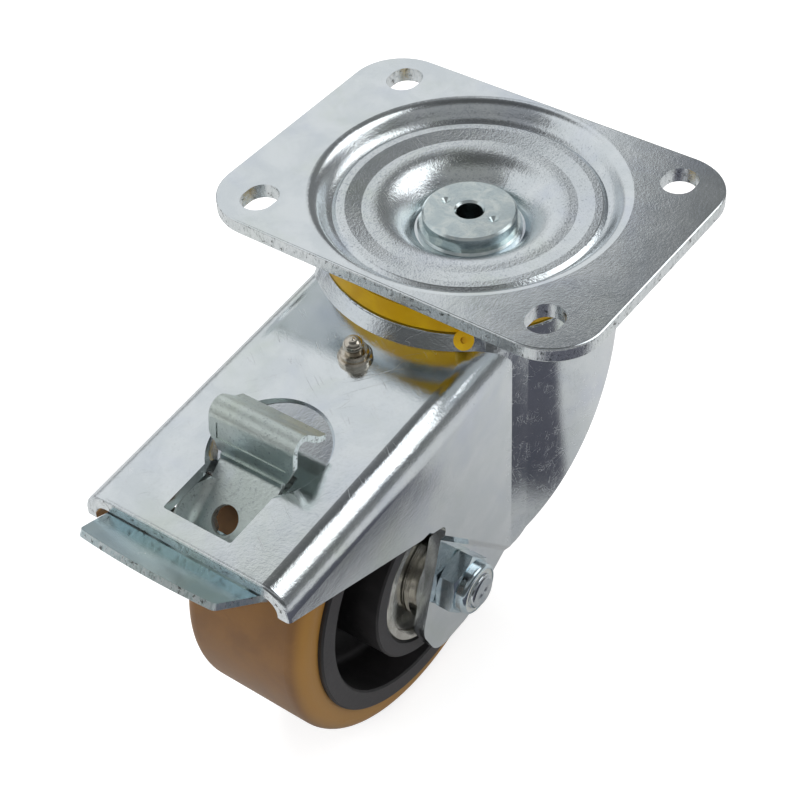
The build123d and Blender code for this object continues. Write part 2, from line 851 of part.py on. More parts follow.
with BuildPart() as wheel_centre:
    with BuildSketch(axle_section) as wheel_profile:
        with Locations((0, tread_inner_radius - rim_thickness / 2)):
            Rectangle(rim_width, rim_thickness)
        with Locations((0, tread_inner_radius / 2)):
            Rectangle(web_thickness, tread_inner_radius)
        with Locations((0, hub_radius / 2)):
            Rectangle(hub_length, hub_radius)
        web_roots = wheel_profile.vertices().filter_by_position(
            Axis.X, -web_thickness / 2 - tiny, web_thickness / 2 + tiny
        )
        web_roots = web_roots.filter_by_position(Axis.Y, tiny, tread_inner_radius - tiny)
        fillet(web_roots, radius=root_round)
    revolve(axis=axle_axis)
    with BuildSketch(Plane.XZ):
        with Locations((axle_x, axle_z)):
            Circle(hub_shoulder_diameter / 2)
    extrude(amount=hub_length, both=True, mode=Mode.SUBTRACT)
    for side in (1, -1):
        with BuildSketch(Plane.XZ.offset(-side * bearing_in_y)):
            with Locations((axle_x, axle_z)):
                Circle(bearing_outer_radius)
        extrude(amount=-side * hub_length, mode=Mode.SUBTRACT)
    rims = wheel_centre.edges().filter_by(GeomType.CIRCLE).filter_by(
        lambda edge: abs(abs(edge.arc_center.Y) - rim_width / 2) < tiny
        or abs(abs(edge.arc_center.Y) - hub_length / 2) < tiny
    )
    chamfer(rims, length=wheel_edge)
finish(wheel_centre, "wheel_centre")

# ---- bearings -------------------------------------------------------------------------
outer_ring_bore = bearing_outer_radius - bearing_ring_thickness
inner_ring_radius = bearing_bore_radius + bearing_ring_thickness
bearing_ball_radius = bearing_ball_diameter / 2
bearing_ball_circle = (outer_ring_bore + inner_ring_radius) / 2
bearing_mid_y = (bearing_out_y + bearing_in_y) / 2

with BuildPart() as bearing_outer_rings:
    with BuildSketch(axle_section):
        for side in (1, -1):
            with Locations((side * bearing_mid_y, bearing_outer_radius - bearing_ring_thickness / 2)):
                Rectangle(bearing_width, bearing_ring_thickness)
            with Locations((side * bearing_mid_y, bearing_ball_circle)):
                Circle(bearing_ball_radius + pin_clearance, mode=Mode.SUBTRACT)
    revolve(axis=axle_axis)
    ring_edges = bearing_outer_rings.edges().filter_by(
        lambda edge: abs(abs(edge.center().Y) - bearing_out_y) < tiny
    )
    chamfer(ring_edges, length=bearing_ring_edge)
finish(bearing_outer_rings, "bearing_outer_rings")

with BuildPart() as bearing_inner_rings:
    with BuildSketch(axle_section):
        for side in (1, -1):
            with Locations((side * bearing_mid_y, bearing_bore_radius + bearing_ring_thickness / 2)):
                Rectangle(bearing_width, bearing_ring_thickness)
            with Locations((side * bearing_mid_y, bearing_ball_circle)):
                Circle(bearing_ball_radius + pin_clearance, mode=Mode.SUBTRACT)
    revolve(axis=axle_axis)
    ring_edges = bearing_inner_rings.edges().filter_by(
        lambda edge: abs(abs(edge.center().Y) - bearing_out_y) < tiny
    )
    chamfer(ring_edges, length=bearing_ring_edge)
finish(bearing_inner_rings, "bearing_inner_rings")

with BuildPart() as bearing_balls:
    for side in (1, -1):
        with Locations(Plane(origin=(axle_x, side * bearing_mid_y, axle_z), z_dir=(0, 1, 0))):
            with PolarLocations(bearing_ball_circle, bearing_ball_count):
                Sphere(bearing_ball_radius)
finish(bearing_balls, "bearing_balls")

shield_y = bearing_out_y - bearing_shield_recess - bearing_shield_thickness / 2
shield_inner_radius = inner_ring_radius + bearing_shield_gap

with BuildPart() as bearing_shields:
    with BuildSketch(axle_section):
        for side in (1, -1):
            with Locations((side * shield_y, (outer_ring_bore + shield_inner_radius) / 2)):
                Rectangle(bearing_shield_thickness, outer_ring_bore - shield_inner_radius)
    revolve(axis=axle_axis)
finish(bearing_shields, "bearing_shields")

with BuildPart() as bearing_spacer:
    with BuildSketch(axle_section):
        with Locations((0, (spacer_diameter / 2 + bearing_bore_radius) / 2)):
            Rectangle(2 * bearing_in_y, spacer_diameter / 2 - bearing_bore_radius)
    revolve(axis=axle_axis)
finish(bearing_spacer, "bearing_spacer")

# ---- axle ---------------------------------------------------------------------------
axle_radius = axle_diameter / 2
axle_end_y = -ear_outer_y - lock_nut_height - axle_tip_beyond_nut
hex_cone = 2 * hex_chamfer
head_plane = Plane(origin=(axle_x, ear_outer_y, axle_z), x_dir=(1, 0, 0), z_dir=(0, 1, 0))
nut_plane = Plane(origin=(axle_x, -ear_outer_y, axle_z), x_dir=(1, 0, 0), z_dir=(0, -1, 0))

with BuildPart() as axle_bolt:
    with BuildSketch(head_plane):
        RegularPolygon(axle_head_across_flats / 2, 6, major_radius=False)
    extrude(amount=axle_head_height)
    with BuildSketch(axle_section):
        with BuildLine():
            Polyline(
                (ear_outer_y, 0),
                (ear_outer_y + axle_head_height, 0),
                (ear_outer_y + axle_head_height, axle_head_across_flats / 2),
                (ear_outer_y + axle_head_height - hex_chamfer, axle_head_across_flats / 2 + hex_cone),
                (ear_outer_y, axle_head_across_flats / 2 + hex_cone),
                close=True,
            )
        make_face()
    revolve(axis=axle_axis, mode=Mode.INTERSECT)
    with BuildSketch(head_plane):
        Circle(axle_radius)
    extrude(amount=axle_end_y - ear_outer_y)
    chamfer(axle_bolt.edges().group_by(Axis.Y)[0], length=axle_tip_chamfer)
finish(axle_bolt, "axle_bolt")

with BuildPart() as lock_nut:
    with BuildSketch(nut_plane):
        RegularPolygon(nut_across_flats / 2, 6, major_radius=False, rotation=nut_turn)
    extrude(amount=nut_hex_height)
    with BuildSketch(axle_section):
        with BuildLine():
            Polyline(
                (-ear_outer_y, 0),
                (-ear_outer_y - nut_hex_height, 0),
                (-ear_outer_y - nut_hex_height, nut_across_flats / 2),
                (-ear_outer_y - nut_hex_height + hex_chamfer, nut_across_flats / 2 + hex_cone),
                (-ear_outer_y - hex_chamfer, nut_across_flats / 2 + hex_cone),
                (-ear_outer_y, nut_across_flats / 2),
                close=True,
            )
        make_face()
    revolve(axis=axle_axis, mode=Mode.INTERSECT)
    with BuildSketch(nut_plane):
        Circle(lock_nut_dome_radius)
    extrude(amount=lock_nut_height)
    fillet(lock_nut.edges().group_by(Axis.Y)[0], radius=lock_nut_dome_round)
    with BuildSketch(nut_plane):
        Circle(axle_radius + pin_clearance)
    extrude(amount=lock_nut_height, mode=Mode.SUBTRACT)
    with BuildSketch(nut_plane.offset(lock_nut_height)):
        Circle(insert_outer_radius)
    extrude(amount=-insert_thickness, mode=Mode.SUBTRACT)
finish(lock_nut, "lock_nut")

with BuildPart() as nut_insert:
    with BuildSketch(nut_plane.offset(lock_nut_height - insert_recess)):
        Circle(insert_outer_radius)
        Circle(axle_radius, mode=Mode.SUBTRACT)
    extrude(amount=insert_recess - insert_thickness)
finish(nut_insert, "nut_insert")

with BuildPart() as axle_tube:
    with BuildSketch(axle_section):
        with Locations((0, (bearing_bore_radius + axle_radius + axle_tube_clearance) / 2)):
            Rectangle(2 * ear_inner_y, bearing_bore_radius - axle_radius - axle_tube_clearance)
    revolve(axis=axle_axis)
finish(axle_tube, "axle_tube")

with BuildPart() as side_collars:
    with BuildSketch(axle_section):
        for side in (1, -1):
            with BuildLine():
                Polyline(
                    (side * bearing_out_y, bearing_bore_radius),
                    (side * bearing_out_y, collar_diameter / 2),
                    (side * (bearing_out_y + collar_length), collar_diameter / 2),
                    (side * (bearing_out_y + collar_length), collar_small_diameter / 2),
                    (side * ear_inner_y, collar_small_diameter / 2),
                    (side * ear_inner_y, bearing_bore_radius),
                    close=True,
                )
            make_face()
    revolve(axis=axle_axis)
finish(side_collars, "side_collars")

# ---- brake rocker ---------------------------------------------------------------------
pivot_axis = Axis((rocker_pin_x, 0, rocker_pin_z), (0, 1, 0))
turn_cos = cos(radians(rocker_lock_angle))
turn_sin = sin(radians(rocker_lock_angle))
# the rocker is drawn in its resting place; this plane carries shapes drawn in the locked place
locked_plane = Plane(
    origin=(
        rocker_pin_x - rocker_pin_x * turn_cos - rocker_pin_z * turn_sin,
        0,
        rocker_pin_z + rocker_pin_x * turn_sin - rocker_pin_z * turn_cos,
    ),
    x_dir=(turn_cos, 0, -turn_sin),
    z_dir=(0, -1, 0),
)
shoe_inner_radius = wheel_radius + shoe_gap
shoe_outer_radius = shoe_inner_radius + shoe_thickness
cheek_inner_y = rocker_half_width - rocker_sheet
shoe_middle = locked_plane.from_local_coords(
    (
        axle_x + shoe_outer_radius * cos(radians(shoe_angle)),
        axle_z + shoe_outer_radius * sin(radians(shoe_angle)),
        0,
    )
)
cheek_outline = (
    *cheek_top_outline,
    *((shoe_middle.X + run, shoe_middle.Z + rise) for run, rise in cheek_foot_outline),
    cheek_back_point,
)
pedal_root_half_width = leg_inner_y - pedal_side_room
pedal_tip_half_width = pedal_root_half_width - pedal_tip_narrowing
pedal_plane = Plane(
    origin=(pedal_tip_x, 0, pedal_tip_z),
    x_dir=(cos(radians(pedal_slope)), 0, -sin(radians(pedal_slope))),
    z_dir=(sin(radians(pedal_slope)), 0, cos(radians(pedal_slope))),
)
pedal_length = (pedal_end_x - pedal_tip_x) / cos(radians(pedal_slope))
leaf_rise = tab_bend[1] - leaf_end[1]
leaf_run = tab_bend[0] - leaf_end[0]
leaf_span = sqrt(leaf_rise**2 + leaf_run**2)
leaf_plane = Plane(
    origin=(tab_bend[0], 0, tab_bend[1]),
    x_dir=(-leaf_run / leaf_span, 0, -leaf_rise / leaf_span),
    z_dir=(-leaf_rise / leaf_span, 0, leaf_run / leaf_span),
)

leaf_section = Plane(
    origin=leaf_plane.from_local_coords((flange_start, 0, 0)),
    x_dir=(0, -1, 0),
    z_dir=leaf_plane.x_dir,
)
tab_rise = tab_crown[1] - tab_bend[1]
tab_run = tab_crown[0] - tab_bend[0]
tab_face_plane = Plane(
    origin=(tab_bend[0], 0, tab_bend[1]), x_dir=(0, -1, 0), z_dir=(-tab_rise, 0, tab_run)
)
flange_top_plane = Plane(
    origin=panel_point(panel_front_x) - Vector(0, 0, panel_under_drop + flange_top_gap),
    x_dir=panel_direction,
    z_dir=panel_normal,
)

with BuildPart() as rocker_flanges:
    with BuildSketch(leaf_section):
        with BuildLine():
            FilletPolyline(
                (-flange_half_width, flange_rise),
                (-leaf_half_width, 0),
                (leaf_half_width, 0),
                (flange_half_width, flange_rise),
                radius=flange_bend_radius,
            )
            offset(amount=rocker_sheet, side=Side.RIGHT)
        make_face()
    extrude(amount=leaf_span - flange_start)
    with BuildSketch(flange_top_plane):
        Rectangle(4 * leaf_span, 4 * flange_half_width)
    extrude(amount=leaf_span, mode=Mode.SUBTRACT)

with BuildPart() as brake_rocker:
    with BuildSketch(Plane.XZ):
        with BuildLine():
            FilletPolyline(
                leaf_end,
                tab_bend,
                tab_crown,
                tab_dip,
                tab_lip,
                radius=(tab_bend_radius, tab_crown_radius, tab_dip_radius),
            )
            offset(amount=rocker_sheet, side=Side.RIGHT)
        make_face()
    extrude(amount=tab_half_width, both=True)
    with BuildSketch(Plane.YZ):
        for side in (1, -1):
            with BuildLine():
                Polyline(
                    (side * rocker_half_width, tab_shoulder_z),
                    (side * tab_shoulder_half_width, tab_shoulder_z),
                    (side * tab_half_width, tab_corner_z),
                    (side * 2 * tab_half_width, tab_corner_z),
                    (side * 2 * tab_half_width, -total_height),
                    (side * rocker_half_width, -total_height),
                    close=True,
                )
            make_face()
    extrude(amount=-total_height, mode=Mode.SUBTRACT)
    with BuildSketch(tab_face_plane):
        with Locations((0, tab_frame_from_bend)):
            Rectangle(2 * tab_frame_half_width, tab_frame_height)
    extrude(amount=-tab_frame_depth, mode=Mode.SUBTRACT)
    with BuildSketch(tab_face_plane):
        with Locations((0, tab_strip_from_bend)):
            Rectangle(4 * tab_half_width, tab_strip_height)
    extrude(amount=-tab_strip_depth, mode=Mode.SUBTRACT)
    add(rocker_flanges.part)
    for cheek_plane in (Plane.XZ.offset(cheek_inner_y), Plane.XZ.offset(-rocker_half_width)):
        with BuildSketch(cheek_plane):
            with BuildLine():
                Polyline(*cheek_outline, close=True)
            make_face()
        extrude(amount=rocker_sheet)
    with BuildSketch(locked_plane):
        with Locations((axle_x, axle_z)):
            Circle(shoe_outer_radius)
    extrude(amount=rocker_half_width, both=True, mode=Mode.SUBTRACT)
    for cheek_plane in (Plane.XZ.offset(cheek_inner_y), Plane.XZ.offset(-rocker_half_width)):
        with BuildSketch(cheek_plane):
            with Locations((rocker_pin_x, rocker_pin_z)):
                Circle(cheek_boss_radius)
            with BuildLine():
                Polyline(*nose_outline, close=True)
            make_face()
        extrude(amount=rocker_sheet)
    with BuildSketch(pedal_plane):
        Rectangle(pedal_length, 4 * pedal_root_half_width, align=(Align.MIN, Align.CENTER))
    extrude(amount=-pedal_thickness, mode=Mode.SUBTRACT)
    with BuildSketch(Plane.XZ):
        with Locations((rocker_pin_x, rocker_pin_z)):
            Circle(rocker_pin_diameter / 2 + pin_clearance)
    extrude(amount=rocker_half_width, both=True, mode=Mode.SUBTRACT)
    with BuildSketch(leaf_plane):
        with Locations((rocker_hole_from_bend, -rocker_hole_y)):
            Circle(rocker_hole_diameter / 2)
    extrude(amount=-2 * rocker_sheet, both=True, mode=Mode.SUBTRACT)
finish(brake_rocker, "brake_rocker")

with BuildPart() as brake_shoe:
    with BuildSketch(locked_plane):
        with Locations((axle_x, axle_z)):
            Circle(shoe_outer_radius)
            Circle(shoe_inner_radius, mode=Mode.SUBTRACT)
        with BuildLine():
            Polyline(
                (axle_x, axle_z),
                (
                    axle_x + 2 * shoe_outer_radius * cos(radians(shoe_angle - shoe_span / 2)),
                    axle_z + 2 * shoe_outer_radius * sin(radians(shoe_angle - shoe_span / 2)),
                ),
                (
                    axle_x + 2 * shoe_outer_radius * cos(radians(shoe_angle + shoe_span / 2)),
                    axle_z + 2 * shoe_outer_radius * sin(radians(shoe_angle + shoe_span / 2)),
                ),
                close=True,
            )
        make_face(mode=Mode.INTERSECT)
    extrude(amount=shoe_half_width, both=True)
finish(brake_shoe, "brake_shoe")

with BuildPart() as pedal:
    with BuildSketch(pedal_plane) as pedal_shape:
        with BuildLine():
            front = ThreePointArc(
                (pedal_front_bow, -pedal_tip_half_width),
                (0, 0),
                (pedal_front_bow, pedal_tip_half_width),
            )
            Polyline(
                front @ 1,
                (pedal_flare_length, pedal_root_half_width),
                (pedal_flare_length + pedal_shoulder_length, pedal_root_half_width),
                (pedal_flare_length + pedal_shoulder_length, pedal_inner_half_width),
                (pedal_length, pedal_inner_half_width),
                (pedal_length, -pedal_inner_half_width),
                (pedal_flare_length + pedal_shoulder_length, -pedal_inner_half_width),
                (pedal_flare_length + pedal_shoulder_length, -pedal_root_half_width),
                (pedal_flare_length, -pedal_root_half_width),
                front @ 0,
            )
        make_face()
        fillet(pedal_shape.vertices().group_by(Axis.X)[0], radius=pedal_corner_round)
    extrude(amount=-pedal_thickness)
finish(pedal, "pedal")

# ---- rocker hinge: lugs, pin and spring ------------------------------------------------
lug_inner_y = flange_half_width + flange_side_room + lug_gap
lug_outer_y = lug_inner_y + lug_thickness

with BuildPart() as hinge_lugs:
    for lug_plane in (Plane.XZ.offset(lug_inner_y), Plane.XZ.offset(-lug_outer_y)):
        with BuildSketch(lug_plane):
            with BuildLine():
                Polyline(
                    (lug_top_rear_x, panel_z(lug_top_rear_x) - panel_under_drop),
                    (lug_top_front_x, panel_z(lug_top_front_x) - panel_under_drop),
                    (rocker_pin_x, rocker_pin_z + cheek_boss_radius),
                    (rocker_pin_x, rocker_pin_z - cheek_boss_radius),
                    close=True,
                )
            make_face()
            with Locations((rocker_pin_x, rocker_pin_z)):
                Circle(cheek_boss_radius)
                Circle(rocker_pin_diameter / 2 + press_clearance, mode=Mode.SUBTRACT)
        extrude(amount=lug_thickness)
finish(hinge_lugs, "hinge_lugs")

with BuildPart() as rocker_pin:
    with BuildSketch(Plane.XZ):
        with Locations((rocker_pin_x, rocker_pin_z)):
            Circle(rocker_pin_diameter / 2)
    extrude(amount=lug_outer_y + pin_end_length, both=True)
    chamfer(rocker_pin.edges().filter_by(GeomType.CIRCLE), length=pin_end_length / 2)
finish(rocker_pin, "rocker_pin")

spring_full_turns = spring_turns + (spring_start_angle - spring_end_angle) / 360
spring_length = spring_pitch * spring_full_turns
spring_place = Location((rocker_pin_x, -spring_length / 2, rocker_pin_z), (-90, 0, 0))

with BuildPart() as spring_coil:
    with BuildLine():
        coil = Helix(pitch=spring_pitch, height=spring_length, radius=spring_coil_radius)
    with BuildSketch(Plane(origin=coil @ 0, z_dir=coil % 0)):
        Circle(spring_wire / 2)
    sweep(path=coil)
    with BuildSketch(Plane(origin=coil @ 0, z_dir=coil % 0)):
        Circle(spring_wire / 2)
    extrude(amount=-spring_leg_length)
    with BuildSketch(Plane(origin=coil @ 1, z_dir=coil % 1)):
        Circle(spring_wire / 2)
    extrude(amount=spring_leg_length)

with BuildPart() as rocker_spring:
    with Locations(spring_place * Location((0, 0, 0), (0, 0, -spring_start_angle))):
        add(spring_coil.part)
finish(rocker_spring, "rocker_spring")

# ---- swivel lock slide and its guide -----------------------------------------------------
tail_inner_radius = wheel_radius + slide_gap_over_wheel
tail_outer_radius = tail_inner_radius + slide_sheet
strap_top_z = axle_z + sqrt(tail_outer_radius**2 - (slide_bend_x - axle_x) ** 2)
strap_bottom_z = axle_z + sqrt(tail_inner_radius**2 - (slide_bend_x - axle_x) ** 2)

tooth_length = -cup_rim_radius - tooth_tip_gap - slide_front_x

with BuildPart() as lock_slide:
    with BuildSketch(Plane.XZ):
        with Locations((axle_x, axle_z)):
            Circle(tail_outer_radius)
            Circle(tail_inner_radius, mode=Mode.SUBTRACT)
        with BuildLine():
            Polyline(
                (slide_tail_x, axle_z + tail_inner_radius / 2),
                (slide_tail_x, 0),
                (slide_bend_x, 0),
                (slide_bend_x, axle_z + tail_inner_radius / 2),
                close=True,
            )
        make_face(mode=Mode.INTERSECT)
        with BuildLine():
            Polyline(
                (slide_bend_x, strap_bottom_z),
                (slide_bend_x, strap_top_z),
                (slide_front_x, strap_top_z),
                (slide_front_x, strap_bottom_z),
                close=True,
            )
        make_face()
    extrude(amount=slide_half_width, both=True)
    with BuildSketch(Plane.XZ):
        with Locations((axle_x, axle_z)):
            Circle(tail_outer_radius)
            Circle(tail_inner_radius, mode=Mode.SUBTRACT)
        with BuildLine():
            Polyline(
                (slide_tail_x, axle_z + tail_inner_radius / 2),
                (slide_tail_x, 0),
                (slide_tail_x + slide_tail_width, 0),
                (slide_tail_x + slide_tail_width, axle_z + tail_inner_radius / 2),
                close=True,
            )
        make_face(mode=Mode.INTERSECT)
    extrude(amount=rocker_half_width, both=True)
    with BuildSketch(Plane.XY.offset(strap_bottom_z)):
        with Locations((slide_front_x, 0)):
            Rectangle(tooth_length, tooth_width, align=(Align.MIN, Align.CENTER))
    extrude(amount=strap_top_z - strap_bottom_z)
finish(lock_slide, "lock_slide")

guide_plane = Plane(
    origin=(guide_x, 0, panel_z(guide_x) - panel_under_drop),
    x_dir=(0, 1, 0),
    z_dir=panel_direction,
)
guide_drop = panel_z(guide_x) - panel_under_drop - strap_bottom_z
guide_drop = guide_drop + guide_clearance + guide_slope_room
guide_inner_y = slide_half_width + guide_clearance

with BuildPart() as slide_guide:
    with BuildSketch(guide_plane):
        with Locations((0, -guide_drop / 2 - guide_strap / 2)):
            Rectangle(2 * (guide_inner_y + guide_strap), guide_drop + guide_strap)
        with Locations((0, -guide_drop / 2)):
            Rectangle(2 * guide_inner_y, guide_drop, mode=Mode.SUBTRACT)
    extrude(amount=guide_length)
finish(slide_guide, "slide_guide")
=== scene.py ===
"""Looks of the swivel castor: finishes for every piece of the frame, lamps, floor and camera."""
from math import cos, pi, radians, sin

import bpy
from mathutils import Matrix, Vector


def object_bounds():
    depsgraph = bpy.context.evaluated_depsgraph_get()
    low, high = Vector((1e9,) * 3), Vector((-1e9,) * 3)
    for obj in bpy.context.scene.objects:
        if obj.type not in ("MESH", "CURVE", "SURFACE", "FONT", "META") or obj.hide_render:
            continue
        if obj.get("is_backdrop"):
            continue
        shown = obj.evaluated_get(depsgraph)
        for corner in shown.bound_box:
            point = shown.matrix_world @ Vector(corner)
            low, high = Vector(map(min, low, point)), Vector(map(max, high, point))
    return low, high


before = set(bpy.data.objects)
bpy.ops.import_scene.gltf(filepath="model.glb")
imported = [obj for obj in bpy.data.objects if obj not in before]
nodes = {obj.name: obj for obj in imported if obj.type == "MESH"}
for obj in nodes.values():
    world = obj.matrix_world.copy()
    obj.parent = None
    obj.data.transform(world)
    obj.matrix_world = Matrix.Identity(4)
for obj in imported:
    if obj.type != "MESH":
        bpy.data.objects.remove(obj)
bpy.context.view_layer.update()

MM = 0.001

# the Mix node's sockets for colours, which share their names with its other sockets
MIX_SHARE, MIX_FIRST, MIX_SECOND, MIX_RESULT = 0, 6, 7, 2


# ---- values over a surface ------------------------------------------------------
class Value:
    """One socket of a material or of the world, with arithmetic that adds Math nodes."""

    def __init__(self, shading, socket):
        self.shading = shading
        self.socket = socket

    def maths(self, operation, *terms):
        return self.shading.add("ShaderNodeMath", {"operation": operation}, dict(enumerate(terms)))

    def __add__(self, other):
        return self.maths("ADD", self, other)

    def __radd__(self, other):
        return self.maths("ADD", other, self)

    def __sub__(self, other):
        return self.maths("SUBTRACT", self, other)

    def __rsub__(self, other):
        return self.maths("SUBTRACT", other, self)

    def __mul__(self, other):
        return self.maths("MULTIPLY", self, other)

    def __truediv__(self, other):
        return self.maths("DIVIDE", self, other)

    def __pow__(self, other):
        return self.maths("POWER", self, other)

    def __abs__(self):
        return self.maths("ABSOLUTE", self)

    def at_least(self, other):
        return self.maths("MAXIMUM", self, other)

    def wave(self):
        return self.maths("SINE", self)

    def rise(self, start, end):
        """0 before start and 1 past end, smooth between; where start is above end it falls."""
        settings = {"interpolation_type": "SMOOTHSTEP"}
        limits = {"From Min": min(start, end), "From Max": max(start, end)}
        ramp = self.shading.add("ShaderNodeMapRange", settings, {"Value": self, **limits})
        return ramp if start <= end else 1 - ramp


def radius(u, v):
    """How far a place lies from the line where u and v are 0."""
    return (u * u + v * v) ** 0.5


class Shading:
    """The nodes of a material or of the world, and the one method that adds a node."""

    def __init__(self, owner):
        owner.use_nodes = True
        self.tree = owner.node_tree

    def add(self, kind, settings=None, sockets=None, output=0):
        """A new node: its settings first, then its sockets' values or links."""
        node = self.tree.nodes.new(kind)
        for name, value in (settings or {}).items():
            setattr(node, name, value)
        self.connect(node, sockets or {})
        return Value(self, node.outputs[output])

    def connect(self, node, sockets):
        for key, value in sockets.items():
            if isinstance(value, Value):
                self.tree.links.new(value.socket, node.inputs[key])
            else:
                node.inputs[key].default_value = value

    def outputs(self, kind, names, sockets=None):
        """Several outputs of one new node, by name."""
        node = self.add(kind, None, sockets).socket.node
        return [Value(self, node.outputs[name]) for name in names]

    def parts(self, vector):
        return self.outputs("ShaderNodeSeparateXYZ", "XYZ", {"Vector": vector})


class Finish(Shading):
    """The material of one finish."""

    def __init__(self, name):
        self.material = bpy.data.materials.new(name)
        super().__init__(self.material)
        self.surface = self.tree.nodes["Principled BSDF"]

    def show(self, **sockets):
        """Feed the surface; a word like Base_Color stands for the socket Base Color."""
        self.connect(
            self.surface, {key.replace("_", " "): value for key, value in sockets.items()}
        )
        return self.material

    def veil(self, share, under, over):
        """Make the whole surface under where share is 0 and over where it is 1."""
        both = self.add("ShaderNodeMixShader", None, {0: share, 1: under, 2: over})
        self.connect(self.tree.nodes["Material Output"], {"Surface": both})

    # places and directions over the piece
    def place(self):
        """Where the surface is on the piece, in millimetres."""
        spot = self.add("ShaderNodeTexCoord", output="Object")
        return self.add("ShaderNodeVectorMath", {"operation": "SCALE"}, {0: spot, "Scale": 1 / MM})

    def outward(self):
        """The way the surface faces, in the piece's own directions, so that it turns with the piece."""
        return self.add("ShaderNodeTexCoord", output="Normal")

    def facing(self):
        return self.parts(self.outward())

    def joined(self, x, y=0.0):
        return self.add("ShaderNodeCombineXYZ", None, {"X": x, "Y": y})

    def stretch(self, vector, along):
        return self.add("ShaderNodeVectorMath", {"operation": "MULTIPLY"}, {0: vector, 1: along})

    def turned(self, vector, angles):
        rotation = [radians(angle) for angle in angles]
        return self.add(
            "ShaderNodeVectorRotate",
            {"rotation_type": "EULER_XYZ"},
            {"Vector": vector, "Rotation": rotation},
        )

    # textures
    def cloud(self, vector, size, detail=3.0, rough=0.5, warp=0.0, seed=0.0):
        """Soft noise from 0 to 1 whose blotches are about size millimetres."""
        sockets = {
            "Vector": vector,
            "W": seed,
            "Scale": 1.0 / size,
            "Detail": detail,
            "Roughness": rough,
            "Distortion": warp,
        }
        return self.add("ShaderNodeTexNoise", {"noise_dimensions": "4D"}, sockets)

    def lines(self, vector, angles, shrink, size, thin, warp, seed):
        """1 on thin lines: noise drawn out along one direction and cut at its middle."""
        drawn = self.stretch(self.turned(vector, angles), (1.0, shrink, 1.0))
        middle = abs(self.cloud(drawn, size, 1.0, 0.4, warp, seed) - 0.5)
        return middle.rise(thin, 0.0)

    def scratches(self, vector, angles, size, thin, seed):
        """Patches of long thin lines.

        Faces that stand across their direction get none, because the lines would curl there.
        """
        line = self.lines(vector, angles, 0.04, size, thin, 0.1, seed)
        patch = self.cloud(vector, size * 3.0, 2.0, seed=seed + 5.0).rise(0.5, 0.66)
        across = abs(self.parts(self.turned(self.outward(), angles))[1])
        return line * patch * across.rise(0.45, 0.2)

    # colours and bumps
    def mix(self, share, first, second):
        sockets = {MIX_SHARE: share, MIX_FIRST: first, MIX_SECOND: second}
        return self.add("ShaderNodeMix", {"data_type": "RGBA"}, sockets, MIX_RESULT)

    def bump(self, height, depth, below=None):
        """Height from 0 to 1 stands depth millimetres high, on the bumps below it."""
        sockets = {"Height": height, "Distance": depth * MM, "Strength": 1.0}
        if below is not None:
            sockets["Normal"] = below
        return self.add("ShaderNodeBump", None, sockets)


def tone(red, green, blue):
    """A colour written as it looks, 0 to 255, as the linear colour that a socket takes."""
    return [
        ((c / 255 + 0.055) / 1.055) ** 2.4 if c > 10 else c / 3294.6 for c in (red, green, blue)
    ] + [1.0]


# ---- zinc plated steel ------------------------------------------------------------
GREEN_STAIN = tone(198, 208, 190)
BLUE_STAIN = tone(186, 194, 218)
FRECKLE = tone(128, 134, 140)
SCRATCHED = tone(240, 243, 245)
PEELED = tone(120, 128, 140)
TORN_PALE = tone(236, 240, 240)
TORN_DULL = tone(150, 156, 152)
PITTED = tone(64, 64, 60)

# direction in degrees, size and thinness of the lines, and seed
ZINC_SCRATCHES = [
    ((0, 0, 33), 2.6, 0.010, 4.0),
    ((20, 10, -48), 3.4, 0.008, 9.0),
    ((70, 25, 12), 3.0, 0.008, 14.0),
]


